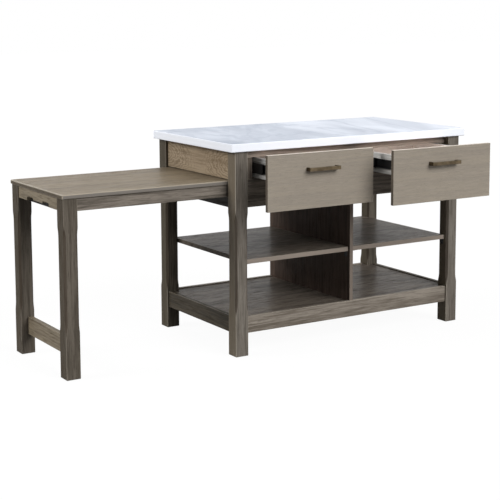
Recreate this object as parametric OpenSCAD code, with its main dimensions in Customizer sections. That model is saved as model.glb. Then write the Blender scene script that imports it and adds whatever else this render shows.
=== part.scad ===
// Kitchen island unit: a marble worktop on four square legs, an open base with two
// shelf levels, two drawers on ball-bearing slides, and a dining leaf on its own
// legs that slides into the base under the drawers.
// Lengths are millimetres and z = 0 is the floor. The drawers open towards -Y, the
// front, and the leaf slides out towards -X. The model stands as it is shown in
// use: the leaf is fully out and both drawers are part open.

/* [Base] */
// Length over the legs
base_w = 1214; // [1150:1:1400]
// Depth over the legs
base_d = 672; // [620:1:800]
// Height from the floor to the top of the worktop
overall_h = 914; // [890:1:940]

/* [Worktop] */
// Thickness of the marble slab
worktop_t = 36; // [20:1:45]
// Overhang of the slab past the legs at the two ends
worktop_over_x = 24; // [10:1:50]
// Overhang of the slab past the legs at the front and the back
worktop_over_y = 12; // [5:1:40]
// Bevel on the edges of the slab
worktop_bevel = 2.5; // [1:0.5:6]

/* [Legs] */
// Width of the square legs
leg_w = 62; // [56:1:72]
// Eased arris of the legs
leg_ease = 2.2; // [1:0.1:4]
// Stop chamfer on the four arrises, measured along a face
stop_chamfer = 9; // [5:0.5:14]
// Length of the curved run-out at each end of a stop chamfer
stop_run = 56; // [20:1:90]
// Diameter of the plastic glides under the feet
glide_d = 24; // [16:1:40]
// Thickness of the glides
glide_t = 2; // [1:0.5:6]

/* [Case] */
// Height of the drawer case, from its underside to the worktop
case_h = 242; // [230:1:260]
// Distance of the face frame behind the front of the legs
frame_setback = 30; // [24:1:40]
// Thickness of the face frame
frame_t = 18; // [15:1:25]
// Height of the face frame's top rail
top_rail_h = 30; // [20:1:45]
// Width of the two outer stiles
stile_w = 40; // [32:1:60]
// Width of the centre stile
centre_stile_w = 60; // [40:1:90]
// Distance of the side and back panels inside the legs' outer faces
panel_setback = 12; // [6:1:20]
// Thickness of the side and back panels
panel_t = 18; // [12:1:22]
// Thickness of the case floor
case_floor_t = 12; // [8:1:18]
// Thickness of the cleats that carry the outer slides
cleat_t = 20; // [15:1:30]
// Height of the slide cleats
cleat_h = 60; // [50:1:74]
// Thickness of the corner blocks
corner_block_t = 24; // [15:1:28]
// Drop of the corner blocks below the worktop
corner_block_drop = 2; // [1:0.5:5]
// Reach of a corner block past the leg, along the face frame
corner_block_x = 50; // [30:1:90]
// Reach of a corner block past the leg, along the side panel
corner_block_y = 68; // [30:1:120]

/* [Open base] */
// Height of the bottom rails above the floor
rail_z0 = 99; // [70:1:140]
// Height of the bottom rails
rail_h = 73; // [50:1:100]
// Thickness of the bottom rails
rail_t = 20; // [16:1:26]
// Distance of the bottom rails inside the legs' outer faces
rail_setback = 8; // [4:1:16]
// Thickness of the bottom shelf
bottom_shelf_t = 18; // [12:1:25]
// Drop of the bottom shelf below the tops of the rails
bottom_shelf_drop = 4; // [2:1:10]
// Height of the middle shelf's upper face
mid_shelf_z1 = 415; // [330:1:500]
// Thickness of the middle shelf
mid_shelf_t = 20; // [15:1:28]
// Distance of the middle shelf's edges inside the legs' outer faces
mid_shelf_setback = 20; // [12:1:30]
// Thickness of the divider
divider_t = 18; // [15:1:25]
// Distance of the divider's edges inside the legs' outer faces
divider_setback = 8; // [4:1:16]
// Depth of the housing in the bottom shelf that the divider stands in
divider_housing = 5; // [2:0.5:9]
// Length of each flange of the shelf brackets
bracket_leg = 25; // [16:1:40]
// Thickness of the bracket steel
bracket_t = 2; // [1.5:0.5:4]
// Width of the shelf brackets
bracket_w = 20; // [12:1:30]

/* [Leaf] */
// Height of the leaf's upper face above the underside of the case
leaf_rise = 116; // [106:1:128]
// Thickness of the leaf
leaf_t = 17; // [14:1:24]
// Length of the leaf
leaf_l = 890; // [780:1:960]
// Length of the open leaf that stays inside the outer faces of the base's legs
leaf_hold = 139; // [120:1:180]
// Bevel round the leaf's upper edge
leaf_bevel = 4; // [2:0.5:6]
// Overhang of the leaf past its legs
leaf_over = 5; // [2:1:15]
// Gap between the leaf and the base's legs on each side
leaf_side_gap = 3; // [2:0.5:8]
// Height of the leaf's aprons
apron_h = 53; // [40:1:64]
// Thickness of the leaf's aprons
apron_t = 20; // [15:1:26]
// Distance of the aprons behind the outer faces of the leaf's legs
apron_setback = 5; // [2:1:12]
// Thickness of the cross rail at the leaf's inner end
cross_rail_t = 22; // [15:1:35]
// Height of the stretcher above the floor
stretcher_z0 = 88; // [60:1:140]
// Height of the stretcher
stretcher_h = 76; // [50:1:100]
// Thickness of the stretcher
stretcher_t = 22; // [16:1:28]
// Width of the finger cut under the end apron
finger_cut_w = 228; // [180:1:300]
// Height of the middle of the finger cut
finger_cut_h = 8; // [4:1:14]
// Width of each rounded lobe of the finger cut
finger_lobe_w = 66; // [40:1:80]
// Height of the lobes
finger_lobe_h = 17; // [15:1:26]
// Radius of the lobes' upper corners
finger_lobe_r = 8; // [4:1:14]
// Thickness of the two stop blocks, along the leaf's travel
stop_l = 30; // [20:1:45]
// Width of the stop blocks, across the leaf
stop_w = 30; // [20:1:45]
// Height of the runners' lips above the foot of the aprons
runner_lip_h = 38; // [20:1:45]

/* [Drawers] */
// Thickness of the drawer fronts
front_t = 18; // [15:1:22]
// Gap round the drawer fronts at the legs and between the two
front_gap = 3; // [2:0.5:6]
// Gap between the drawer fronts and the worktop
front_top_gap = 4; // [2:0.5:8]
// Height of the drawer fronts above the case's underside
front_lift = 2; // [0:0.5:10]
// Distance that the left drawer is pulled out
left_open = 160; // [0:1:400]
// Distance that the right drawer is pulled out
right_open = 296; // [0:1:400]
// Thickness of the drawer sides and ends
box_side_t = 12; // [11:1:16]
// Thickness of the drawer bottom
box_bottom_t = 5; // [4:0.5:8]
// Depth of the groove that holds the bottom
groove_depth = 5; // [3:0.5:7]
// Height of the groove above the foot of the drawer side
groove_lift = 6; // [4:0.5:12]
// Gap between the leaf and the drawer boxes above it
box_over_leaf = 8; // [4:1:16]
// Gap between the drawer boxes and the top rail
box_top_gap = 2; // [1:0.5:8]

/* [Slides] */
// Length of the slides
slide_l = 450; // [400:1:500]
// Width that a slide fills between the cleat and the drawer side
slide_w = 12.7; // [12:0.1:14]
// Height of the slides
slide_h = 46; // [44:1:50]
// Thickness of the slide steel
slide_steel = 1.2; // [1:0.1:1.6]

/* [Pulls] */
// Length of the pulls
pull_l = 158; // [120:1:200]
// Distance that the pulls stand out from the drawer fronts
pull_reach = 30; // [24:1:40]
// Height of the pulls
pull_h = 16; // [10:1:22]
// Thickness of the bar of the pulls
pull_bar_t = 10; // [6:1:14]
// Width of the two posts of the pulls
pull_post_w = 12; // [10:1:20]
// Bevel on the outer edges of the pulls
pull_bevel = 1.5; // [0.5:0.5:3]
// Distance of the pulls' middle below the top of the drawer fronts
pull_drop = 69; // [50:1:84]
// Diameter of the pull screws
screw_d = 4; // [3:0.5:5]
// Diameter of the screw heads
screw_head_d = 8; // [6:0.5:11]
// Height of the screw heads
screw_head_h = 2.5; // [2:0.5:4]
// Length of screw inside a pull
screw_grip = 15; // [8:1:22]

/* [Clearances] */
// Gap round the legs where a board is notched
notch_gap = 0.5; // [0.2:0.1:2]
// Running gap between the leaf and its runners
run_gap = 0.3; // [0.2:0.1:1]
// Gap between the runners' seats and the stop blocks that pass them
seat_gap = 1; // [0.5:0.1:3]
// Gap between the stop blocks and the case floor
stop_lift = 12; // [8:1:16]
// Gap above and below the leaf at the slot in the left side
slot_gap = 3; // [2:0.5:6]
// Gap between the closed drawer fronts and the face frame
bumper_gap = 1; // [0.5:0.5:3]
// Gap between the stop blocks and the slot rail they catch on
stop_gap = 0.5; // [0.3:0.1:2]
// Gap between the face frame and the start of the slides
slide_setback = 3; // [1:0.5:6]
// Running gap between the steel members of a slide
member_gap = 0.6; // [0.5:0.1:0.8]
// Gap that the balls of a slide fill
ball_gap = 0.8; // [0.6:0.1:1]
// Gap round the drawer bottom in its groove
groove_gap = 0.1; // [0.1:0.1:0.4]
// Gap round the screws in their holes
screw_gap = 0.2; // [0.1:0.1:0.5]

/* [Hidden] */
$fn = 48;

LEFT = 0;
RIGHT = 1;
oak = "#7a7065";
warm_oak = "#87765f";
shelf_oak = "#55524e";
drawer_oak = "#9e9487";
plywood = "#96948f";
drawer_lining = "#dccdc3";
marble = "#d9dde4";
steel_black = "#222222";
antique_brass = "#6e6248";
plastic_black = "#2a2a2a";
// Eased arris of the boards
board_ease = 1;
// How far a cutter runs past the faces that it cuts
past = 5;
// Steps in a curved run-out
ogee_steps = 8;

// Heights of the base
leg_top = overall_h - worktop_t;
case_z0 = leg_top - case_h;
case_floor_z1 = case_z0 + case_floor_t;
top_rail_z0 = leg_top - top_rail_h;
rail_z1 = rail_z0 + rail_h;
bottom_shelf_z1 = rail_z1 - bottom_shelf_drop;
divider_z0 = bottom_shelf_z1 - divider_housing;
mid_shelf_z0 = mid_shelf_z1 - mid_shelf_t;
// Heights of the leaf, and of the case round it
leaf_h = case_z0 + leaf_rise;
leaf_z0 = leaf_h - leaf_t;
apron_z0 = leaf_z0 - apron_h;
slot_rail_z1 = apron_z0 - slot_gap;
panel_left_z0 = leaf_h + slot_gap;
runner_z1 = apron_z0 - run_gap;
// Heights of the drawers
front_z0 = case_z0 + front_lift;
front_z1 = leg_top - front_top_gap;
box_z0 = leaf_h + box_over_leaf;
box_z1 = top_rail_z0 - box_top_gap;
lower_board_z1 = box_z0 - box_over_leaf / 2;
slide_z = (box_z0 + box_z1) / 2;
pull_z = front_z1 - pull_drop;
bottom_z0 = box_z0 + groove_lift;
// Depths of the case
frame_y1 = frame_setback + frame_t;
back_panel_y0 = base_d - panel_setback - panel_t;
// Widths of the case
panel_in = panel_setback + panel_t;
stile_in = leg_w + stile_w;
centre_stile_x0 = (base_w - centre_stile_w) / 2;
// Drawer front and box of the left drawer, closed. The right one is its mirror image.
front_x0 = leg_w + front_gap;
front_x1 = (base_w - front_gap) / 2;
front_y1 = frame_setback - bumper_gap;
front_y0 = front_y1 - front_t;
box_x0 = stile_in + slide_w;
box_x1 = centre_stile_x0 - slide_w;
box_y0 = front_y1;
slide_y0 = box_y0 + slide_setback;
slide_y1 = slide_y0 + slide_l;
box_y1 = slide_y1 + slide_setback;
pull_x0 = (front_x0 + front_x1 - pull_l) / 2;
// Steel members of a slide, which nest: the middle one in the cabinet one, the drawer
// one in the middle one
mid_member_h = slide_h - 2 * (slide_steel + member_gap);
drawer_member_h = mid_member_h - 2 * (slide_steel + ball_gap);
mid_member_x0 = slide_steel + member_gap;
mid_member_x1 = slide_w - slide_steel - member_gap;
drawer_member_x0 = mid_member_x0 + slide_steel + member_gap;
// Leaf, pulled out
leaf_x1 = leaf_hold;
leaf_x0 = leaf_x1 - leaf_l;
leaf_y0 = leg_w + leaf_side_gap;
leaf_y1 = base_d - leaf_y0;
leaf_leg_x0 = leaf_x0 + leaf_over;
leaf_leg_x1 = leaf_leg_x0 + leg_w;
leaf_leg_y0 = leaf_y0 + leaf_over;
leaf_leg_y1 = leaf_leg_y0 + leg_w;
apron_y0 = leaf_leg_y0 + apron_setback;
apron_y1 = apron_y0 + apron_t;
stretcher_x0 = leaf_leg_x0 + leg_w / 2;
// The origin is under the middle of the whole unit, as it stands open
front_reach = max(worktop_over_y, max(left_open, right_open) + pull_reach - front_y0);
origin_x = (leaf_x0 + base_w + worktop_over_x) / 2;
origin_y = (base_d + worktop_over_y - front_reach) / 2;

function ogee(t) = (1 - cos(180 * t)) / 2;

module to_origin() translate([-origin_x, -origin_y, 0]) children();

// Left-hand shape, or its mirror image across the middle of the base's length
module handed(side)
    if (side == LEFT) children();
    else translate([base_w, 0, 0]) mirror([1, 0, 0]) children();

// Front shape, or its mirror image across the middle of the base's depth
module front_and_back() {
    children();
    mirrored_to_back() children();
}

module mirrored_to_back() translate([0, base_d, 0]) mirror([0, 1, 0]) children();

// Rectangle with its corners cut off: the lower two by foot, the upper two by head
module eased_rect(w, h, foot, head)
    polygon([[foot, 0], [w - foot, 0], [w, foot], [w, h - head],
             [w - head, h], [head, h], [0, h - head], [0, foot]]);

// Board between two opposite corners, with every arris eased. Its upper edges and
// its corners can have a wider bevel.
module board(low, high, ease = board_ease, top_bevel = 0) {
    size = high - low;
    bevel = max(ease, top_bevel);
    translate(low) intersection() {
        linear_extrude(size[2]) eased_rect(size[0], size[1], bevel, bevel);
        translate([0, size[1], 0]) rotate([90, 0, 0])
            linear_extrude(size[1]) eased_rect(size[0], size[2], ease, bevel);
        rotate([90, 0, 90]) linear_extrude(size[0]) eased_rect(size[1], size[2], ease, bevel);
    }
}

// Panel between two opposite corners, with square edges
module panel(low, high) translate(low) cube(high - low);

// Side view of the wood that a stop chamfer removes: depth across the arris, height
module stop_chamfer_side() {
    depth = stop_chamfer / sqrt(2);
    polygon(concat(
        [[-past, rail_z1]],
        [for (i = [0:ogee_steps]) [depth * ogee(i / ogee_steps), rail_z1 + stop_run * i / ogee_steps]],
        [for (i = [ogee_steps:-1:0]) [depth * ogee(i / ogee_steps), case_z0 - stop_run * i / ogee_steps]],
        [[-past, case_z0]]
    ));
}

// Square leg standing on its glide, with its near left corner at the origin
module square_leg(top) {
    difference() {
        board([0, 0, glide_t], [leg_w, leg_w, top], leg_ease);
        for (turn = [0:3])
            translate([leg_w / 2, leg_w / 2, 0]) rotate(90 * turn)
                translate([-leg_w / 2, -leg_w / 2, 0]) rotate([90, 0, 45])
                    linear_extrude(leg_w, center = true) stop_chamfer_side();
    }
}

module base_leg(x, y) to_origin() translate([x, y, 0]) color(oak) square_leg(leg_top);

module glide(x, y) translate([x + leg_w / 2, y + leg_w / 2, 0]) cylinder(h = glide_t, d = glide_d);

// Room for the four legs, cut out of a board that runs between them
module leg_notches(z0, z1)
    handed_both() front_and_back()
        panel([-past, -past, z0 - past], [leg_w + notch_gap, leg_w + notch_gap, z1 + past]);

module handed_both() {
    handed(LEFT) children();
    handed(RIGHT) children();
}

// ---- Worktop and legs ----

module marble_top() to_origin() color(marble)
    board([-worktop_over_x, -worktop_over_y, leg_top],
          [base_w + worktop_over_x, base_d + worktop_over_y, overall_h], worktop_bevel);

module leg_front_left() base_leg(0, 0);
module leg_front_right() base_leg(base_w - leg_w, 0);
module leg_back_left() base_leg(0, base_d - leg_w);
module leg_back_right() base_leg(base_w - leg_w, base_d - leg_w);

module leg_glides() to_origin() color(plastic_black)
    handed_both() front_and_back() glide(0, 0);

// ---- Case round the drawers and the leaf ----

module side_panel_left() to_origin() color(warm_oak)
    board([panel_setback, leg_w, panel_left_z0], [panel_in, base_d - leg_w, leg_top]);

module leaf_slot_rail() to_origin() color(oak)
    board([panel_setback, leg_w, case_z0], [panel_in, base_d - leg_w, slot_rail_z1]);

module side_panel_right() to_origin() color(warm_oak)
    handed(RIGHT) board([panel_setback, leg_w, case_z0], [panel_in, base_d - leg_w, leg_top]);

module back_panel() to_origin() color(warm_oak)
    board([leg_w, back_panel_y0, case_z0], [base_w - leg_w, back_panel_y0 + panel_t, leg_top]);

module case_top_rail() to_origin() color(oak)
    board([leg_w, frame_setback, top_rail_z0], [base_w - leg_w, frame_y1, leg_top]);

module case_lower_board() to_origin() color(shelf_oak)
    board([leg_w, frame_setback, case_z0], [base_w - leg_w, frame_y1, lower_board_z1]);

module outer_stile() color(oak)
    board([leg_w, frame_setback, lower_board_z1], [stile_in, frame_y1, top_rail_z0]);

module stile_left() to_origin() handed(LEFT) outer_stile();
module stile_right() to_origin() handed(RIGHT) outer_stile();

module stile_centre() to_origin() color(oak)
    board([centre_stile_x0, frame_setback, lower_board_z1],
          [centre_stile_x0 + centre_stile_w, frame_y1, top_rail_z0]);

module case_floor() to_origin() color(shelf_oak) difference() {
    panel([panel_in, frame_y1, case_z0], [base_w - panel_in, back_panel_y0, case_floor_z1]);
    leg_notches(case_z0, case_floor_z1);
}

// Beam from the face frame to the back panel that carries slides
module slide_cleat(x0, x1)
    panel([x0, frame_y1, slide_z - cleat_h / 2], [x1, back_panel_y0, slide_z + cleat_h / 2]);

module slide_cleat_left() to_origin() color(plywood)
    handed(LEFT) slide_cleat(stile_in - cleat_t, stile_in);
module slide_cleat_right() to_origin() color(plywood)
    handed(RIGHT) slide_cleat(stile_in - cleat_t, stile_in);
module slide_cleat_centre() to_origin() color(plywood)
    slide_cleat(centre_stile_x0, centre_stile_x0 + centre_stile_w);

// L-shaped hardwood runner: the apron rides on its seat and is kept in line by its lip
module leaf_runner(y0) color(plywood) {
    lip_y1 = apron_y0 - run_gap;
    seat_y1 = apron_y1 - seat_gap;
    lip_z1 = apron_z0 + runner_lip_h;
    translate([leg_w + notch_gap, 0, 0]) rotate([90, 0, 90])
        linear_extrude(base_w - 2 * (leg_w + notch_gap))
            polygon([[y0, case_floor_z1], [seat_y1, case_floor_z1], [seat_y1, runner_z1],
                     [lip_y1, runner_z1], [lip_y1, lip_z1], [y0, lip_z1]]);
}

module leaf_runner_front() to_origin() leaf_runner(frame_y1);
module leaf_runner_back() to_origin() mirrored_to_back() leaf_runner(base_d - back_panel_y0);

// Glued triangular blocks between the worktop's supports
module corner_block() translate([0, 0, leg_top - corner_block_drop - corner_block_t])
    linear_extrude(corner_block_t)
        polygon([[panel_in, leg_w], [leg_w, leg_w], [leg_w, frame_y1],
                 [leg_w + corner_block_x, frame_y1], [panel_in, leg_w + corner_block_y]]);

module corner_block_back() translate([0, 0, leg_top - corner_block_drop - corner_block_t])
    linear_extrude(corner_block_t)
        polygon([[panel_in, base_d - leg_w], [leg_w, base_d - leg_w], [leg_w, back_panel_y0],
                 [leg_w + corner_block_x, back_panel_y0],
                 [panel_in, base_d - leg_w - corner_block_y]]);

module corner_blocks() to_origin() color(plywood) handed_both() {
    corner_block();
    corner_block_back();
}

// ---- Open base ----

module divider() to_origin() color(shelf_oak) difference() {
    board([(base_w - divider_t) / 2, divider_setback, divider_z0],
          [(base_w + divider_t) / 2, base_d - divider_setback, case_z0]);
    front_and_back()
        panel([0, -past, 0], [base_w, rail_setback + rail_t, rail_z1]);
}

module mid_shelf() color(shelf_oak)
    board([leg_w, mid_shelf_setback, mid_shelf_z0],
          [(base_w - divider_t) / 2, base_d - mid_shelf_setback, mid_shelf_z1]);

module mid_shelf_left() to_origin() handed(LEFT) mid_shelf();
module mid_shelf_right() to_origin() handed(RIGHT) mid_shelf();

// Steel angle under a shelf, against an upright whose face is at x = 0
module bracket() translate([0, bracket_w / 2, 0]) rotate([90, 0, 0]) linear_extrude(bracket_w)
    polygon([[0, 0], [bracket_leg, 0], [bracket_leg, -bracket_t],
             [bracket_t, -bracket_t], [bracket_t, -bracket_leg], [0, -bracket_leg]]);

// Each half shelf has four, in line between its edge and the stop chamfers of the legs
module shelf_brackets() to_origin() color(steel_black) {
    bracket_y = (mid_shelf_setback + leg_w - stop_chamfer) / 2;
    handed_both() front_and_back() translate([0, bracket_y, mid_shelf_z0]) {
        translate([leg_w, 0, 0]) bracket();
        translate([(base_w - divider_t) / 2, 0, 0]) mirror([1, 0, 0]) bracket();
    }
}

module bottom_shelf() to_origin() color(shelf_oak) difference() {
    rail_in = rail_setback + rail_t;
    panel([rail_in, rail_in, bottom_shelf_z1 - bottom_shelf_t],
          [base_w - rail_in, base_d - rail_in, bottom_shelf_z1]);
    leg_notches(bottom_shelf_z1 - bottom_shelf_t, bottom_shelf_z1);
    panel([(base_w - divider_t) / 2, 0, divider_z0], [(base_w + divider_t) / 2, base_d, rail_z1]);
}

module long_bottom_rail() color(oak)
    board([leg_w, rail_setback, rail_z0], [base_w - leg_w, rail_setback + rail_t, rail_z1]);

module end_bottom_rail() color(oak)
    board([rail_setback, leg_w, rail_z0], [rail_setback + rail_t, base_d - leg_w, rail_z1]);

module bottom_rail_front() to_origin() long_bottom_rail();
module bottom_rail_back() to_origin() mirrored_to_back() long_bottom_rail();
module bottom_rail_left() to_origin() handed(LEFT) end_bottom_rail();
module bottom_rail_right() to_origin() handed(RIGHT) end_bottom_rail();

// ---- Slides ----

// Channel section, open to the right: web at x0, flanges to x1, height over the flanges
module channel(x0, x1, h) difference() {
    translate([x0, -h / 2]) square([x1 - x0, h]);
    translate([x0 + slide_steel, slide_steel - h / 2]) square([x1 - x0, h - 2 * slide_steel]);
}

// A slide member along the left side of the left drawer, from its section
module member() translate([stile_in, slide_y1, slide_z]) rotate([90, 0, 0])
    linear_extrude(slide_l) children();

// The same member on both sides of a drawer
module both_sides() {
    children();
    translate([stile_in + centre_stile_x0, 0, 0]) mirror([1, 0, 0]) children();
}

module slide_cabinet_members() to_origin() color(steel_black) handed_both() both_sides()
    member() channel(0, slide_w - 2 * slide_steel, slide_h);

module slide_mid(side) to_origin() color(steel_black)
    translate([0, -opening(side) / 2, 0]) handed(side) both_sides()
        member() channel(mid_member_x0, mid_member_x1, mid_member_h);

module slide_drawer_members(side) on_drawer(side) color(steel_black) both_sides()
    member() translate([slide_w + drawer_member_x0, 0]) mirror([1, 0])
        channel(drawer_member_x0, slide_w, drawer_member_h);

// ---- Drawers ----

function opening(side) = side == LEFT ? left_open : right_open;

module on_drawer(side) to_origin() translate([0, -opening(side), 0]) handed(side) children();

// The two screw axes of a pull, as places along the drawer front
module at_pull_screws() for (x = [pull_x0 + pull_post_w / 2, pull_x0 + pull_l - pull_post_w / 2])
    translate([x, 0, pull_z]) children();

// Round bar along y between two depths
module rod(y0, y1, d) translate([0, y1, 0]) rotate([90, 0, 0]) cylinder(h = y1 - y0, d = d);

module drawer_front(side) on_drawer(side) color(drawer_oak) difference() {
    board([front_x0, front_y0, front_z0], [front_x1, front_y1, front_z1]);
    at_pull_screws() rod(front_y0 - past, front_y1 + past, screw_d + 2 * screw_gap);
}

// Groove all round the inside of the drawer, where the bottom sits
module bottom_groove()
    panel([box_x0 + box_side_t - groove_depth, box_y0 + box_side_t - groove_depth, bottom_z0 - groove_gap],
          [box_x1 - box_side_t + groove_depth, box_y1 - box_side_t + groove_depth,
           bottom_z0 + box_bottom_t + groove_gap]);

module drawer_side() color(plywood) difference() {
    board([box_x0, box_y0, box_z0], [box_x0 + box_side_t, box_y1, box_z1]);
    bottom_groove();
}

module mirrored_in_box() translate([box_x0 + box_x1, 0, 0]) mirror([1, 0, 0]) children();

// The outer side is the one next to the end of the island
module drawer_outer_side(side) on_drawer(side) drawer_side();
module drawer_inner_side(side) on_drawer(side) mirrored_in_box() drawer_side();

module drawer_ends(side) on_drawer(side) color(plywood) difference() {
    for (y = [box_y0, box_y1 - box_side_t])
        board([box_x0 + box_side_t, y, box_z0], [box_x1 - box_side_t, y + box_side_t, box_z1]);
    bottom_groove();
    at_pull_screws() rod(box_y0 - past, box_y0 + box_side_t + past, screw_d + 2 * screw_gap);
}

module drawer_bottom(side) on_drawer(side) color(drawer_lining) {
    inset = box_side_t - groove_depth + groove_gap;
    panel([box_x0 + inset, box_y0 + inset, bottom_z0],
          [box_x1 - inset, box_y1 - inset, bottom_z0 + box_bottom_t]);
}

// Square bar with a post at each end, drilled for its screws
module drawer_pull(side) on_drawer(side) color(antique_brass) difference() {
    y0 = front_y0 - pull_reach;
    board([pull_x0, y0, pull_z - pull_h / 2], [pull_x0 + pull_l, front_y0, pull_z + pull_h / 2], pull_bevel);
    panel([pull_x0 + pull_post_w, y0 + pull_bar_t, pull_z - pull_h],
          [pull_x0 + pull_l - pull_post_w, front_y0 + past, pull_z + pull_h]);
    at_pull_screws() rod(front_y0 - screw_grip - screw_gap, front_y0 + past, screw_d + 2 * screw_gap);
}

module pull_screws(side) on_drawer(side) color(steel_black) at_pull_screws() {
    head_y = box_y0 + box_side_t;
    rod(front_y0 - screw_grip, head_y, screw_d);
    rod(head_y, head_y + screw_head_h, screw_head_d);
}

// ---- Leaf ----

module leaf_top() to_origin() color(drawer_oak)
    board([leaf_x0, leaf_y0, leaf_z0], [leaf_x1, leaf_y1, leaf_h], board_ease, leaf_bevel);

module leaf_apron() color(oak)
    board([leaf_leg_x1, apron_y0, apron_z0], [leaf_x1, apron_y1, leaf_z0]);

module leaf_apron_front() to_origin() leaf_apron();
module leaf_apron_back() to_origin() mirrored_to_back() leaf_apron();

// Half of the finger cut, as a view of the end of the leaf: a low middle and a taller lobe
module finger_cut_half() {
    lobe_x0 = finger_cut_w / 2 - finger_lobe_w;
    translate([0, -past]) square([lobe_x0 + finger_lobe_r, finger_cut_h + past]);
    translate([lobe_x0, -past]) square([finger_lobe_w, finger_lobe_h - finger_lobe_r + past]);
    translate([lobe_x0 + finger_lobe_r, 0])
        square([finger_lobe_w - 2 * finger_lobe_r, finger_lobe_h]);
    for (x = [lobe_x0 + finger_lobe_r, finger_cut_w / 2 - finger_lobe_r])
        translate([x, finger_lobe_h - finger_lobe_r]) circle(r = finger_lobe_r);
}

module leaf_apron_end() to_origin() color(oak) difference() {
    x0 = leaf_leg_x0 + apron_setback;
    board([x0, leaf_leg_y1, apron_z0], [x0 + apron_t, base_d - leaf_leg_y1, leaf_z0]);
    translate([x0 - past, base_d / 2, apron_z0]) rotate([90, 0, 90])
        linear_extrude(apron_t + 2 * past) {
            finger_cut_half();
            mirror([1, 0]) finger_cut_half();
        }
}

module leaf_cross_rail() to_origin() color(oak)
    board([leaf_x1 - cross_rail_t, apron_y1, apron_z0], [leaf_x1, base_d - apron_y1, leaf_z0]);

module leaf_leg_front() to_origin() color(oak)
    translate([leaf_leg_x0, leaf_leg_y0, 0]) square_leg(leaf_z0);
module leaf_leg_back() to_origin() color(oak)
    mirrored_to_back() translate([leaf_leg_x0, leaf_leg_y0, 0]) square_leg(leaf_z0);

module leaf_stretcher() to_origin() color(oak)
    board([stretcher_x0, leaf_leg_y1, stretcher_z0],
          [stretcher_x0 + stretcher_t, base_d - leaf_leg_y1, stretcher_z0 + stretcher_h]);

// Blocks inside the aprons that catch on the slot rail when the leaf is fully out
module leaf_stops() to_origin() color(plywood) front_and_back()
    board([panel_in + stop_gap, apron_y1, case_floor_z1 + stop_lift],
          [panel_in + stop_gap + stop_l, apron_y1 + stop_w, leaf_z0]);

module leaf_glides() to_origin() color(plastic_black)
    front_and_back() glide(leaf_leg_x0, leaf_leg_y0);

marble_top();
leg_front_left();
leg_front_right();
leg_back_left();
leg_back_right();
leg_glides();
side_panel_left();
leaf_slot_rail();
side_panel_right();
back_panel();
case_top_rail();
case_lower_board();
stile_left();
stile_centre();
stile_right();
case_floor();
slide_cleat_left();
slide_cleat_centre();
slide_cleat_right();
slide_cabinet_members();
leaf_runner_front();
leaf_runner_back();
corner_blocks();
divider();
mid_shelf_left();
mid_shelf_right();
shelf_brackets();
bottom_shelf();
bottom_rail_front();
bottom_rail_back();
bottom_rail_left();
bottom_rail_right();
drawer_front(LEFT);  // drawer_left_front
drawer_outer_side(LEFT);  // drawer_left_side_left
drawer_inner_side(LEFT);  // drawer_left_side_right
drawer_ends(LEFT);  // drawer_left_ends
drawer_bottom(LEFT);  // drawer_left_bottom
drawer_pull(LEFT);  // drawer_left_pull
pull_screws(LEFT);  // drawer_left_pull_screws
slide_drawer_members(LEFT);  // drawer_left_slide_members
slide_mid(LEFT);  // drawer_left_slide_mid
drawer_front(RIGHT);  // drawer_right_front
drawer_inner_side(RIGHT);  // drawer_right_side_left
drawer_outer_side(RIGHT);  // drawer_right_side_right
drawer_ends(RIGHT);  // drawer_right_ends
drawer_bottom(RIGHT);  // drawer_right_bottom
drawer_pull(RIGHT);  // drawer_right_pull
pull_screws(RIGHT);  // drawer_right_pull_screws
slide_drawer_members(RIGHT);  // drawer_right_slide_members
slide_mid(RIGHT);  // drawer_right_slide_mid
leaf_top();
leaf_apron_front();
leaf_apron_back();
leaf_apron_end();
leaf_cross_rail();
leaf_leg_front();
leaf_leg_back();
leaf_stretcher();
leaf_stops();
leaf_glides();
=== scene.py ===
import math

import bmesh
import bpy
from mathutils import Matrix, Vector


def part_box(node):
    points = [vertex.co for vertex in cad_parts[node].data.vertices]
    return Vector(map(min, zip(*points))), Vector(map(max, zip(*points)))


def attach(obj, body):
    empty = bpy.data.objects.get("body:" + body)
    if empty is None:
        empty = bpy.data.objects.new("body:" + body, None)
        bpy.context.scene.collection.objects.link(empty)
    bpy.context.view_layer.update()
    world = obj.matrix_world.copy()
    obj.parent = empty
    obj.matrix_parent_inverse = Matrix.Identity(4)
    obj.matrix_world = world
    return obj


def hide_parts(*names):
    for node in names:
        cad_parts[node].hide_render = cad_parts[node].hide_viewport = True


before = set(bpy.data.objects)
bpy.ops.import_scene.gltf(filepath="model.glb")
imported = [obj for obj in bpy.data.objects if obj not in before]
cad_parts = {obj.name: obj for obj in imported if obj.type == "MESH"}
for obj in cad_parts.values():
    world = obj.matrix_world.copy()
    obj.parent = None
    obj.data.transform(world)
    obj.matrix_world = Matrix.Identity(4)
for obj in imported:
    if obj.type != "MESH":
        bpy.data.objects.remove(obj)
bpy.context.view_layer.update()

# ---- Camera: its place in metres, its turns in degrees, and its lens in millimetres ----
CAMERA_PLACE = (-3.0161, -4.7596, 1.5032)
CAMERA_YAW = -31.873
CAMERA_PITCH = 7.666
CAMERA_ROLL = -0.206
CAMERA_LENS = 93.48
CAMERA_SHIFT_Y = -0.15

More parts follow.
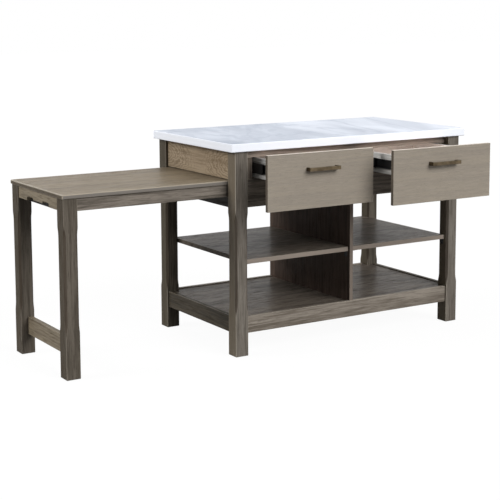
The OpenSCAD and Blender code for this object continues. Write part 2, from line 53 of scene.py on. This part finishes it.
# ---- Stains and finishes, and some painted light and shade, as red, green and blue from 0 to 255 ----
LEG_LIGHT = (117, 111, 103)
LEG_DARK = (88, 82, 75)
# painted shade: the faces of the front legs that look along x are painted darker and browner
LEG_SIDE_SHADE = (110, 99, 82)
LEAF_LEG_LIGHT = (100, 93, 84)
LEAF_LEG_DARK = (73, 67, 59)
# painted shade: the faces of the leaf legs that look along x are painted much darker
LEAF_LEG_SIDE_SHADE = (56, 47, 33)
# painted shade: the back legs are a darker copy of the leg oak, for the shade under the case
SHADED_BACK_LEG_LIGHT = (102, 95, 85)
SHADED_BACK_LEG_DARK = (60, 55, 47)
SHADED_BACK_LEG_SIDE = (70, 63, 51)
RAIL_LIGHT = (138, 130, 120)
RAIL_DARK = (94, 86, 77)
# painted shade: the stiles are a darker copy of the rail oak, for the shade of the open drawers
SHADED_STILE_LIGHT = (112, 103, 94)
SHADED_STILE_DARK = (72, 65, 57)
# painted light: the top rail is a lighter copy of the rail oak, against the shadow of the slab
LIT_TOP_RAIL_LIGHT = (164, 151, 140)
LIT_TOP_RAIL_DARK = (124, 112, 103)
# painted shade: the end rails and the leaf cross rail are a darker copy of the rail oak
SHADED_END_RAIL_LIGHT = (76, 69, 58)
SHADED_END_RAIL_DARK = (45, 41, 34)
# painted shade: the leaf slot rail is a still darker copy of the rail oak
SHADED_SLOT_RAIL_LIGHT = (54, 49, 43)
SHADED_SLOT_RAIL_DARK = (33, 30, 26)
APRON_LIGHT = (126, 118, 109)
APRON_DARK = (80, 74, 67)
STRETCHER_LIGHT = (131, 120, 102)
STRETCHER_DARK = (92, 82, 67)
PANEL_LIGHT = (160, 144, 122)
PANEL_DARK = (122, 106, 86)
PANEL_FIGURE = (106, 90, 70)
FRONT_LIGHT = (148, 139, 126)
FRONT_DARK = (138, 130, 120)
FRONT_STROKE = (168, 159, 146)
# painted highlight: the faces of the drawer fronts that look along z are painted pale
FRONT_TOP_HIGHLIGHT = (214, 205, 194)
# painted shade: the end faces of the drawer fronts, which look along x, are painted dark
FRONT_END_SHADE = (66, 58, 49)
LEAF_LIGHT = (123, 111, 92)
LEAF_DARK = (91, 80, 65)
LEAF_END = (62, 53, 42)
LEAF_EDGE = (118, 114, 110)
SHELF_LIGHT = (104, 96, 87)
SHELF_DARK = (62, 56, 50)
# painted highlight: the faces of the shelves and the divider that look along y are painted lighter
SHELF_EDGE_HIGHLIGHT = (142, 131, 121)
DIVIDER_LIGHT = (78, 65, 57)
DIVIDER_DARK = (52, 42, 36)
# painted shade: the colours of the near-black strip behind the finger cut
SHADE_STRIP_LIGHT = (24, 20, 17)
SHADE_STRIP_DARK = (13, 11, 9)
PORE = (44, 38, 32)
CHAMFER_STAIN = (62, 53, 44)
# painted highlight: the pale colour of the eased arrises
ARRIS_HIGHLIGHT = (168, 160, 147)
MARBLE_PALE = (219, 224, 234)
MARBLE_CLOUD = (150, 158, 172)
MARBLE_VEIN = (148, 157, 173)
# painted light: the near-white colour of the sides of the slab
MARBLE_LIT_EDGE = (241, 244, 251)
BOX_LIGHT = (182, 180, 176)
BOX_DARK = (142, 140, 136)
LINING_LIGHT = (250, 241, 234)
LINING_DARK = (238, 226, 217)
HARDWOOD_LIGHT = (196, 174, 142)
HARDWOOD_DARK = (160, 138, 108)
BRASS = (108, 95, 76)
BRASS_TARNISH = (76, 66, 51)
BLACK_STEEL = (26, 26, 27)
STEEL_SPECK = (60, 60, 61)
ZINC_LIGHT = (168, 170, 172)
ZINC_DARK = (120, 122, 124)
NYLON_DARK = (22, 22, 22)
NYLON_LIGHT = (40, 40, 40)

# ---- Oak, in metres: length of a feature along the grain, and its width across it ----
BANDS = (0.6, 0.04)
STREAKS = (0.16, 0.008)
DASHES = (0.07, 0.0045)
FIBRES = (0.05, 0.0016)
OPEN_PORES = (0.022, 0.0009)
RING_WAVES = (0.05, 0.022)
GRAIN_DEPTH = 0.0005
CHAMFER_FADE = 0.03

# ---- Figure of the end panels: width of a ring and place of its hearts, in metres ----
PANEL_RING = 0.011
PANEL_RING_SLOPE = 0.42
PANEL_HEART_INSET = 0.03

# ---- Marble: turn of its bands and veins, in radians ----
VEIN_SLANT = -0.25

# ---- Rounding of arrises, in metres ----
LEG_EASE = 0.0007
LEAF_EASE = 0.001
FRONT_EASE = 0.0006
SLAB_EASE = 0.0012
PULL_EASE = 0.0006
EASE_SEGMENTS = 2

# ---- Dark strip behind the finger cut of the end apron, put there as painted shade, in metres ----
FINGER_CUT = 0.228
SHADE_STRIP_MARGIN = 0.06
SHADE_STRIP_GAP = 0.0045
SHADE_STRIP_THICKNESS = 0.01
SHADE_STRIP_DROP = 0.0092
SHADE_STRIP_EASE = 0.001

# ---- Room. A lamp: name, azimuth, elevation and spread in degrees, and strength ----
LAMPS = (
    ("key_light", 14, 32, 40, 3.1),
    ("left_light", -105, 30, 30, 2.5),
    ("back_light", 180, 25, 40, 0.7),
    ("right_light", 85, 18, 40, 0.9),
)
FLOOR_SIZE = 60.0
FLOOR_GREY = (125, 125, 125)
FLOOR_WHITE = (255, 255, 255)
FLOOR_GLOW = 0.95
AMBIENT = 0.2

AXES = {"x": 0, "y": 1, "z": 2}


def linear(colour):
    """Scene-linear red, green, blue and alpha of a colour given as 0 to 255."""
    parts = [c / 255 for c in colour]
    return [p / 12.92 if p <= 0.04045 else ((p + 0.055) / 1.055) ** 2.4 for p in parts] + [1.0]


class Finish:
    """A material while it is being made: its nodes are added here and lead to its shader."""

    def __init__(self, name, roughness, shine=0.5, metal=0.0):
        self.material = bpy.data.materials.new(name)
        self.material.use_nodes = True
        self.tree = self.material.node_tree
        self.shader = self.tree.nodes["Principled BSDF"]
        self.shader.inputs["Roughness"].default_value = roughness
        self.shader.inputs["Specular IOR Level"].default_value = shine
        self.shader.inputs["Metallic"].default_value = metal
        coordinates = self.tree.nodes.new("ShaderNodeTexCoord")
        self.place = coordinates.outputs["Object"]
        self.normal = coordinates.outputs["Normal"]

    def join(self, value, socket):
        """Leads a node's output, a number or a colour to a socket."""
        if isinstance(value, bpy.types.NodeSocket):
            self.tree.links.new(value, socket)
        else:
            socket.default_value = value

    def noise(self, size, detail=3.0, distortion=0.0, turn=0.0, start=(0, 0, 0)):
        """Soft noise with features of one size along each axis, turned about Z."""
        place = self.tree.nodes.new("ShaderNodeMapping")
        place.vector_type = "TEXTURE"
        place.inputs["Scale"].default_value = size
        place.inputs["Rotation"].default_value = (0, 0, turn)
        place.inputs["Location"].default_value = start
        self.join(self.place, place.inputs["Vector"])
        node = self.tree.nodes.new("ShaderNodeTexNoise")
        self.join(place.outputs["Vector"], node.inputs["Vector"])
        node.inputs["Scale"].default_value = 1.0
        node.inputs["Detail"].default_value = detail
        node.inputs["Distortion"].default_value = distortion
        return node.outputs["Fac"]

    def ramp(self, value, low, high):
        """A number that goes smoothly from 0 at low to 1 at high."""
        node = self.tree.nodes.new("ShaderNodeMapRange")
        node.interpolation_type = "SMOOTHSTEP"
        node.inputs["From Min"].default_value = low
        node.inputs["From Max"].default_value = high
        self.join(value, node.inputs["Value"])
        return node.outputs["Result"]

    def maths(self, operation, *values):
        node = self.tree.nodes.new("ShaderNodeMath")
        node.operation = operation
        for value, socket in zip(values, node.inputs):
            self.join(value, socket)
        return node.outputs["Value"]

    def times(self, *values):
        product = values[0]
        for value in values[1:]:
            product = self.maths("MULTIPLY", product, value)
        return product

    def blend(self, amount, first, second):
        """A colour between the first, at 0, and the second, at 1."""
        node = self.tree.nodes.new("ShaderNodeMix")
        node.data_type = "RGBA"
        self.join(amount, node.inputs[0])
        self.join(first, node.inputs[6])
        self.join(second, node.inputs[7])
        return node.outputs[2]

    def axis(self, letter, source=None):
        """One coordinate of a place or a direction."""
        node = self.tree.nodes.new("ShaderNodeSeparateXYZ")
        self.join(source or self.place, node.inputs[0])
        return node.outputs[AXES[letter]]

    def bump(self, height, strength, distance):
        node = self.tree.nodes.new("ShaderNodeBump")
        node.inputs["Strength"].default_value = strength
        node.inputs["Distance"].default_value = distance
        self.join(height, node.inputs["Height"])
        self.join(node.outputs["Normal"], self.shader.inputs["Normal"])

    def done(self, colour, roughness=None):
        self.join(colour, self.shader.inputs["Base Color"])
        if roughness is not None:
            self.join(roughness, self.shader.inputs["Roughness"])
        return self.material


# ---- Oak ----

def grain(along, length, width):
    """Size of a feature that is that long along the grain and that wide across it."""
    size = [width] * 3
    size[AXES[along]] = length
    return size


def squareness(wood):
    """1 on a face that looks along an axis, and less on an eased arris or a chamfer."""
    faces = [wood.maths("ABSOLUTE", wood.axis(letter, wood.normal)) for letter in "xyz"]
    return wood.maths("MAXIMUM", wood.maths("MAXIMUM", faces[0], faces[1]), faces[2])


def cathedral(wood, along, across, middle, half_length, ring, slope):
    """Cathedral grain: arches nested round a heart at each end, with their crowns toward the middle."""
    far = wood.maths("SUBTRACT", half_length,
                     wood.maths("ABSOLUTE", wood.maths("SUBTRACT", wood.axis(along), middle[0])))
    side = wood.maths("SUBTRACT", wood.axis(across), middle[1])
    wander = wood.noise(grain(along, *RING_WAVES), detail=3.0)
    far = wood.maths("ADD", wood.times(far, slope), wood.times(wander, ring * 4))
    radius = wood.maths("SQRT", wood.maths("ADD", wood.times(far, far), wood.times(side, side)))
    rings = wood.ramp(wood.maths("SINE", wood.times(radius, 2 * math.pi / ring)), -0.3, 0.9)
    return wood.times(rings, wood.ramp(radius, ring * 12, ring * 6))


def oak(name, along, light, dark, roughness=0.42, shine=0.05, contrast=1.0, strokes=0.35,
        stroke_colour=PORE, figure=None, highlight=0.4, chamfer_zone=None, faces=(), relief=0.3):
    """Open-grained oak under a grey-brown stain, with its grain along one axis.

    Light and dark are its two tones, strokes is how strongly the open grain shows, figure places
    cathedral grain, the arris highlight argument is how strongly the arrises are painted paler, a
    painted highlight, chamfer_zone is the lowest and highest level of the stained chamfers, and faces
    lists an axis, a colour and an amount for the faces that look along that axis; most of these
    colours paint shade or a highlight on those faces.
    """
    wood = Finish(name, roughness, shine)
    bands = wood.noise(grain(along, *BANDS), detail=2.0)
    streaks = wood.noise(grain(along, *STREAKS), detail=3.0, distortion=0.25)
    dashes = wood.noise(grain(along, *DASHES), detail=2.0)
    fibres = wood.noise(grain(along, *FIBRES), detail=2.0)
    pores = wood.noise(grain(along, *OPEN_PORES), detail=1.0)
    half = 0.13 / contrast
    tone = wood.maths("ADD", wood.times(bands, 0.45), wood.times(streaks, 0.55))
    colour = wood.blend(wood.ramp(tone, 0.5 - half, 0.5 + half), linear(dark), linear(light))
    if figure:
        colour = wood.blend(wood.times(cathedral(wood, along, *figure), 0.75), colour, linear(PANEL_FIGURE))
    colour = wood.blend(wood.times(wood.ramp(fibres, 0.35, 0.65), 0.2), colour, linear(light))
    colour = wood.blend(wood.times(wood.ramp(dashes, 0.54, 0.66), strokes), colour, linear(stroke_colour))
    open_pores = wood.ramp(pores, 0.60, 0.70)
    colour = wood.blend(wood.times(open_pores, strokes), colour, linear(PORE))
    for letter, face_colour, amount in faces:
        facing = wood.ramp(wood.maths("ABSOLUTE", wood.axis(letter, wood.normal)), 0.7, 0.95)
        colour = wood.blend(wood.times(facing, amount), colour, linear(face_colour))
    square = squareness(wood)
    # painted highlight: the eased arrises, where the normal leaves the axes, are painted paler
    highlight_mask = wood.ramp(square, 0.985, 0.93)
    if chamfer_zone:
        foot, head = chamfer_zone
        level = wood.axis("z")
        facet = wood.times(wood.ramp(square, 0.9, 0.75), wood.ramp(level, foot, foot + CHAMFER_FADE),
                           wood.ramp(level, head, head - CHAMFER_FADE))
        colour = wood.blend(wood.times(facet, 0.65), colour, linear(CHAMFER_STAIN))
        highlight_mask = wood.times(highlight_mask, wood.maths("SUBTRACT", 1.0, facet))
    colour = wood.blend(wood.times(highlight_mask, highlight), colour, linear(ARRIS_HIGHLIGHT))
    hollows = wood.ramp(dashes, 0.5, 0.66)
    height = wood.maths("SUBTRACT", wood.times(streaks, 0.4), wood.maths("ADD", open_pores, hollows))
    wood.bump(height, relief, GRAIN_DEPTH)
    dullness = wood.maths("ADD", wood.times(streaks, 0.16), wood.times(hollows, 0.25))
    return wood.done(colour, wood.maths("ADD", roughness - 0.08, dullness))


# ---- Other finishes ----

def honed_marble():
    """Honed white marble, with soft blue-grey bands and thin veins across the slab, and its sides painted
    near-white, a painted light.
    """
    stone = Finish("honed_marble", 0.35, shine=0.05)
    bands = stone.noise((0.24, 0.8, 0.3), detail=3.0, distortion=0.7, turn=VEIN_SLANT)
    drift = stone.ramp(stone.axis("x"), 1.0, -0.4)
    clouds = stone.maths("ADD", stone.times(stone.ramp(bands, 0.3, 0.7), 0.5), stone.times(drift, 0.5))
    colour = stone.blend(clouds, linear(MARBLE_PALE), linear(MARBLE_CLOUD))
    mottle = stone.noise((0.09, 0.14, 0.08), detail=5.0, distortion=0.8)
    colour = stone.blend(stone.times(stone.ramp(mottle, 0.5, 0.7), 0.25), colour, linear(MARBLE_VEIN))
    veins = stone.noise((0.4, 1.2, 0.3), detail=5.0, distortion=0.5, turn=VEIN_SLANT, start=(0.13, 0.4, 0))
    thin = stone.ramp(stone.maths("ABSOLUTE", stone.maths("SUBTRACT", veins, 0.5)), 0.02, 0.0)
    colour = stone.blend(stone.times(thin, 0.4), colour, linear(MARBLE_VEIN))
    # painted light: the faces that do not look up are painted near-white
    upward = stone.ramp(stone.axis("z", stone.normal), 0.6, 0.95)
    edge = stone.blend(0.08, linear(MARBLE_LIT_EDGE), colour)
    return stone.done(stone.blend(upward, edge, colour))


def two_tone(name, along, length, width, dark, light, roughness, relief=0.15):
    """A plain finish that is a little streaked or mottled in two near colours."""
    finish = Finish(name, roughness, shine=0.3)
    streaks = finish.noise(grain(along, length, width), detail=3.0)
    finish.bump(streaks, relief, 0.0002)
    return finish.done(finish.blend(finish.ramp(streaks, 0.3, 0.7), linear(dark), linear(light)))


def antique_brass():
    """Brushed brass, darkened by age."""
    metal = Finish("antique_brass", 0.36, metal=1.0)
    brushing = metal.noise(grain("x", 0.03, 0.0006), detail=2.0)
    tarnish = metal.noise((0.03, 0.03, 0.03), detail=3.0)
    colour = metal.blend(metal.ramp(tarnish, 0.3, 0.7), linear(BRASS), linear(BRASS_TARNISH))
    colour = metal.blend(metal.times(brushing, 0.3), colour, linear(BRASS_TARNISH))
    metal.bump(brushing, 0.1, 0.0001)
    return metal.done(colour, metal.maths("ADD", 0.28, metal.times(tarnish, 0.16)))


def speckled_metal(name, dark, light, roughness, metal_share):
    metal = Finish(name, roughness, metal=metal_share)
    speckle = metal.noise((0.0011, 0.0011, 0.0011), detail=2.0)
    metal.bump(speckle, 0.1, 0.0001)
    return metal.done(metal.blend(metal.times(speckle, 0.4), linear(dark), linear(light)))


# ---- Pieces with finer edges ----

def softened(node, name, body, edge, material, sharp=24, shortest=0.006):
    """A CAD piece with its arrises rounded: it takes that piece's place."""
    mesh = bpy.data.meshes.new(name)
    shape = bmesh.new()
    shape.from_mesh(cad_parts[node].data)
    bmesh.ops.remove_doubles(shape, verts=shape.verts, dist=0.00001)
    bmesh.ops.dissolve_limit(shape, angle_limit=math.radians(0.5), verts=shape.verts, edges=shape.edges)
    arrises = [e for e in shape.edges
               if e.calc_face_angle(0) > math.radians(sharp) and e.calc_length() > shortest]
    bmesh.ops.bevel(shape, geom=arrises, affect="EDGES", offset=edge, segments=EASE_SEGMENTS,
                    profile=0.5, material=-1, clamp_overlap=True)
    shape.to_mesh(mesh)
    shape.free()
    mesh.materials.clear()
    mesh.materials.append(material)
    piece = bpy.data.objects.new(name, mesh)
    bpy.context.scene.collection.objects.link(piece)
    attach(piece, body)
    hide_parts(node)
    return piece


def paint(material, *names):
    """Gives CAD pieces a finish."""
    for name in names:
        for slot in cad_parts[name].material_slots:
            slot.material = material


def finish_legs():
    chamfer_zone = (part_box("bottom_rail_front")[1].z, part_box("case_lower_board")[0].z)
    # Each leg oak paints shade on the faces that look along x, in a darker, browner colour
    leg = oak("leg_oak", "z", LEG_LIGHT, LEG_DARK, chamfer_zone=chamfer_zone, highlight=0.6,
              faces=[("x", LEG_SIDE_SHADE, 0.6)])
    for name in ("leg_front_left", "leg_front_right"):
        softened(name, name + "_eased", "root", LEG_EASE, leg)
    # painted shade: the back legs get a darker copy of the leg oak
    shaded_back_leg = oak("shaded_back_leg_oak", "z", SHADED_BACK_LEG_LIGHT, SHADED_BACK_LEG_DARK, chamfer_zone=chamfer_zone, highlight=0.4,
                   faces=[("x", SHADED_BACK_LEG_SIDE, 0.75)])
    for name in ("leg_back_left", "leg_back_right"):
        softened(name, name + "_eased", "root", LEG_EASE, shaded_back_leg)
    leaf_leg = oak("leaf_leg_oak", "z", LEAF_LEG_LIGHT, LEAF_LEG_DARK, chamfer_zone=chamfer_zone, highlight=0.25,
                   faces=[("x", LEAF_LEG_SIDE_SHADE, 0.75)])
    for name in ("leaf_leg_front", "leaf_leg_back"):
        softened(name, name + "_eased", "leaf", LEG_EASE, leaf_leg)


def finish_case():
    low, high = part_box("side_panel_left")
    middle = ((low.y + high.y) / 2, (low.z + high.z) / 2)
    heart_reach = (high.y - low.y) / 2 - PANEL_HEART_INSET
    # painted shade: the stiles get a darker copy of the rail oak
    paint(oak("shaded_stile_oak", "z", SHADED_STILE_LIGHT, SHADED_STILE_DARK), "stile_left", "stile_centre", "stile_right")
    # painted light: the top rail gets a lighter copy of the rail oak
    paint(oak("lit_top_rail_oak", "x", LIT_TOP_RAIL_LIGHT, LIT_TOP_RAIL_DARK, strokes=0.15), "case_top_rail")
    paint(oak("rail_oak", "x", RAIL_LIGHT, RAIL_DARK), "bottom_rail_front", "bottom_rail_back")
    # painted shade: the end rails and the leaf cross rail get a darker copy of the rail oak
    paint(oak("shaded_end_rail_oak", "y", SHADED_END_RAIL_LIGHT, SHADED_END_RAIL_DARK), "bottom_rail_left",
          "bottom_rail_right", "leaf_cross_rail")
    # painted shade: the leaf slot rail gets a still darker copy of the rail oak
    paint(oak("shaded_slot_rail_oak", "y", SHADED_SLOT_RAIL_LIGHT, SHADED_SLOT_RAIL_DARK), "leaf_slot_rail")
    paint(oak("apron_oak", "x", APRON_LIGHT, APRON_DARK), "leaf_apron_front", "leaf_apron_back",
          "case_lower_board", "case_floor")
    paint(oak("stretcher_oak", "y", STRETCHER_LIGHT, STRETCHER_DARK), "leaf_apron_end", "leaf_stretcher")
    paint(oak("panel_oak", "y", PANEL_LIGHT, PANEL_DARK, contrast=0.6, strokes=0.12,
              figure=("z", middle, heart_reach, PANEL_RING, PANEL_RING_SLOPE)),
          "side_panel_left", "side_panel_right")
    paint(oak("back_panel_oak", "x", PANEL_LIGHT, PANEL_DARK, contrast=0.6, strokes=0.12), "back_panel")
    # painted highlight: the edges of the shelves that look along y are painted lighter
    paint(oak("shelf_oak", "x", SHELF_LIGHT, SHELF_DARK, roughness=0.3, shine=0.04, strokes=0.6,
              faces=[("y", SHELF_EDGE_HIGHLIGHT, 0.8)], relief=0.5),
          "mid_shelf_left", "mid_shelf_right", "bottom_shelf")
    # painted highlight: the edges of the divider that look along y are painted lighter
    paint(oak("divider_oak", "z", DIVIDER_LIGHT, DIVIDER_DARK, roughness=0.5,
              faces=[("y", SHELF_EDGE_HIGHLIGHT, 0.5)]), "divider")
    paint(two_tone("plain_hardwood", "x", 0.2, 0.008, HARDWOOD_DARK, HARDWOOD_LIGHT, 0.6),
          "slide_cleat_left", "slide_cleat_centre", "slide_cleat_right", "leaf_runner_front",
          "leaf_runner_back", "corner_blocks", "leaf_stops")


def finish_leaf_and_fronts():
    leaf = oak("leaf_oak", "x", LEAF_LIGHT, LEAF_DARK, roughness=0.36, contrast=0.8, strokes=0.12,
               faces=[("x", LEAF_END, 0.7), ("y", LEAF_EDGE, 0.8)], highlight=0.6)
    softened("leaf_top", "leaf_board", "leaf", LEAF_EASE, leaf)
    # The drawer fronts get a painted highlight on their faces that look along z, and painted shade on their
    # end faces
    front = oak("front_oak", "x", FRONT_LIGHT, FRONT_DARK, contrast=0.7, strokes=0.22,
                stroke_colour=FRONT_STROKE, faces=[("z", FRONT_TOP_HIGHLIGHT, 0.8), ("x", FRONT_END_SHADE, 0.85)])
    for side in ("left", "right"):
        name = "drawer_" + side + "_front"
        softened(name, name + "_board", "drawer_" + side, FRONT_EASE, front)


def leaf_shade_strip():
    """A near-black strip that hangs from the leaf behind the finger cut: painted shade, so that the lobes
    of the cut look dark.
    """
    low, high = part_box("leaf_apron_end")
    middle = (low.y + high.y) / 2
    reach = FINGER_CUT / 2 + SHADE_STRIP_MARGIN
    corners = (Vector((high.x + SHADE_STRIP_GAP, middle - reach, low.z - SHADE_STRIP_DROP)),
               Vector((high.x + SHADE_STRIP_GAP + SHADE_STRIP_THICKNESS, middle + reach, high.z)))
    size = corners[1] - corners[0]
    shape = bmesh.new()
    bmesh.ops.create_cube(shape, size=1)
    bmesh.ops.scale(shape, vec=size, verts=shape.verts)
    bmesh.ops.translate(shape, vec=(corners[0] + corners[1]) / 2, verts=shape.verts)
    bmesh.ops.bevel(shape, geom=shape.edges[:], affect="EDGES", offset=SHADE_STRIP_EASE,
                    segments=EASE_SEGMENTS, profile=0.5, material=-1, clamp_overlap=True)
    mesh = bpy.data.meshes.new("leaf_shade_strip")
    shape.to_mesh(mesh)
    shape.free()
    mesh.materials.append(oak("shade_strip_oak", "y", SHADE_STRIP_LIGHT, SHADE_STRIP_DARK))
    strip = bpy.data.objects.new("leaf_shade_strip", mesh)
    bpy.context.scene.collection.objects.link(strip)
    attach(strip, "leaf")


def drawer_side_board(name, inward):
    """A drawer side: grey outside, and lined with a pale foil on the face that looks inward."""
    board = Finish(name, 0.5, shine=0.3)
    streaks = board.noise(grain("y", 0.12, 0.004), detail=3.0)
    board.bump(streaks, 0.15, 0.0002)
    tone = board.ramp(streaks, 0.3, 0.7)
    outside = board.blend(tone, linear(BOX_DARK), linear(BOX_LIGHT))
    inside = board.blend(tone, linear(LINING_DARK), linear(LINING_LIGHT))
    facing = board.ramp(board.times(board.axis("x", board.normal), inward), 0.5, 0.9)
    return board.done(board.blend(facing, outside, inside))


def finish_drawer_boxes():
    left_board = drawer_side_board("drawer_board_left", 1)
    right_board = drawer_side_board("drawer_board_right", -1)
    lining = two_tone("drawer_lining", "x", 0.2, 0.01, LINING_DARK, LINING_LIGHT, 0.55)
    for side in ("left", "right"):
        drawer = "drawer_" + side
        paint(left_board, drawer + "_side_left")
        paint(right_board, drawer + "_side_right")
        paint(lining, drawer + "_bottom", drawer + "_ends")


def finish_metal_and_stone():
    softened("marble_top", "marble_slab", "root", SLAB_EASE, honed_marble())
    brass = antique_brass()
    black = speckled_metal("black_slide_steel", BLACK_STEEL, STEEL_SPECK, 0.35, 0.6)
    zinc = speckled_metal("zinc_plate", ZINC_DARK, ZINC_LIGHT, 0.35, 1.0)
    for side in ("left", "right"):
        drawer = "drawer_" + side
        softened(drawer + "_pull", drawer + "_pull_bar", drawer, PULL_EASE, brass)
        paint(zinc, drawer + "_pull_screws")
        paint(black, drawer + "_slide_members", drawer + "_slide_mid")
    paint(black, "slide_cabinet_members")
    paint(speckled_metal("black_bracket_steel", NYLON_DARK, NYLON_LIGHT, 0.7, 0.0), "shelf_brackets")
    paint(two_tone("black_nylon", "x", 0.002, 0.002, NYLON_DARK, NYLON_LIGHT, 0.55), "leg_glides",
          "leaf_glides")


# ---- Room ----

def set_camera():
    camera = bpy.data.objects.new("camera", bpy.data.cameras.new("camera"))
    bpy.context.scene.collection.objects.link(camera)
    turn = Matrix.Rotation(math.radians(CAMERA_YAW), 4, "Z")
    turn = turn @ Matrix.Rotation(math.radians(90 - CAMERA_PITCH), 4, "X")
    turn = turn @ Matrix.Rotation(math.radians(CAMERA_ROLL), 4, "Z")
    camera.matrix_world = Matrix.Translation(CAMERA_PLACE) @ turn
    camera.data.lens = CAMERA_LENS
    camera.data.shift_y = CAMERA_SHIFT_Y
    bpy.context.scene.camera = camera


def seen_directly(tree):
    """1 for rays from the camera, a gloss or a glass, and 0 for the light that falls on things."""
    path = tree.nodes.new("ShaderNodeLightPath")
    amount = path.outputs["Is Camera Ray"]
    for kind in ("Is Glossy Ray", "Is Transmission Ray"):
        either = tree.nodes.new("ShaderNodeMath")
        either.operation = "MAXIMUM"
        tree.links.new(amount, either.inputs[0])
        tree.links.new(path.outputs[kind], either.inputs[1])
        amount = either.outputs["Value"]
    return amount


def set_world():
    """White to look at, and a plain soft light on the object."""
    world = bpy.data.worlds.new("studio")
    world.use_nodes = True
    tree = world.node_tree
    ambient = tree.nodes["Background"]
    ambient.inputs["Color"].default_value = (1, 1, 1, 1)
    ambient.inputs["Strength"].default_value = AMBIENT
    white = tree.nodes.new("ShaderNodeBackground")
    white.inputs["Color"].default_value = (1, 1, 1, 1)
    white.inputs["Strength"].default_value = 1.0
    choice = tree.nodes.new("ShaderNodeMixShader")
    tree.links.new(seen_directly(tree), choice.inputs[0])
    tree.links.new(ambient.outputs[0], choice.inputs[1])
    tree.links.new(white.outputs[0], choice.inputs[2])
    tree.links.new(choice.outputs[0], tree.nodes["World Output"].inputs["Surface"])
    bpy.context.scene.world = world


def floor_paint():
    """White to look at, where it still shows the shadow, and grey to the light it throws back."""
    material = bpy.data.materials.new("floor_paint")
    material.use_nodes = True
    tree = material.node_tree
    seen = seen_directly(tree)
    shade = tree.nodes.new("ShaderNodeMix")
    shade.data_type = "RGBA"
    shade.inputs[6].default_value = linear(FLOOR_GREY)
    shade.inputs[7].default_value = linear(FLOOR_WHITE)
    tree.links.new(seen, shade.inputs[0])
    matt = tree.nodes["Principled BSDF"]
    matt.inputs["Roughness"].default_value = 0.9
    matt.inputs["Specular IOR Level"].default_value = 0.0
    tree.links.new(shade.outputs[2], matt.inputs["Base Color"])
    glow = tree.nodes.new("ShaderNodeEmission")
    glow.inputs["Strength"].default_value = 1.0
    amount = tree.nodes.new("ShaderNodeMath")
    amount.operation = "MULTIPLY"
    amount.inputs[1].default_value = FLOOR_GLOW
    tree.links.new(seen, amount.inputs[0])
    choice = tree.nodes.new("ShaderNodeMixShader")
    tree.links.new(amount.outputs[0], choice.inputs[0])
    tree.links.new(matt.outputs[0], choice.inputs[1])
    tree.links.new(glow.outputs[0], choice.inputs[2])
    tree.links.new(choice.outputs[0], tree.nodes["Material Output"].inputs["Surface"])
    return material


def set_floor():
    mesh = bpy.data.meshes.new("floor")
    shape = bmesh.new()
    bmesh.ops.create_grid(shape, x_segments=1, y_segments=1, size=FLOOR_SIZE / 2)
    shape.to_mesh(mesh)
    shape.free()
    mesh.materials.append(floor_paint())
    floor = bpy.data.objects.new("floor", mesh)
    bpy.context.scene.collection.objects.link(floor)


def far_lamp(name, azimuth, elevation, spread, strength):
    """Even, soft light from one side of the sky. Azimuth 0 shines along +Y, and 90 along -X."""
    data = bpy.data.lights.new(name, "SUN")
    data.energy = strength
    data.angle = math.radians(spread)
    lamp = bpy.data.objects.new(name, data)
    bpy.context.scene.collection.objects.link(lamp)
    turn = Matrix.Rotation(math.radians(azimuth), 4, "Z")
    lamp.matrix_world = turn @ Matrix.Rotation(math.radians(90 - elevation), 4, "X")


bpy.context.scene.view_settings.view_transform = "Standard"
set_camera()
set_world()
set_floor()
for lamp in LAMPS:
    far_lamp(*lamp)
finish_legs()
finish_case()
finish_leaf_and_fronts()
leaf_shade_strip()
finish_drawer_boxes()
finish_metal_and_stone()
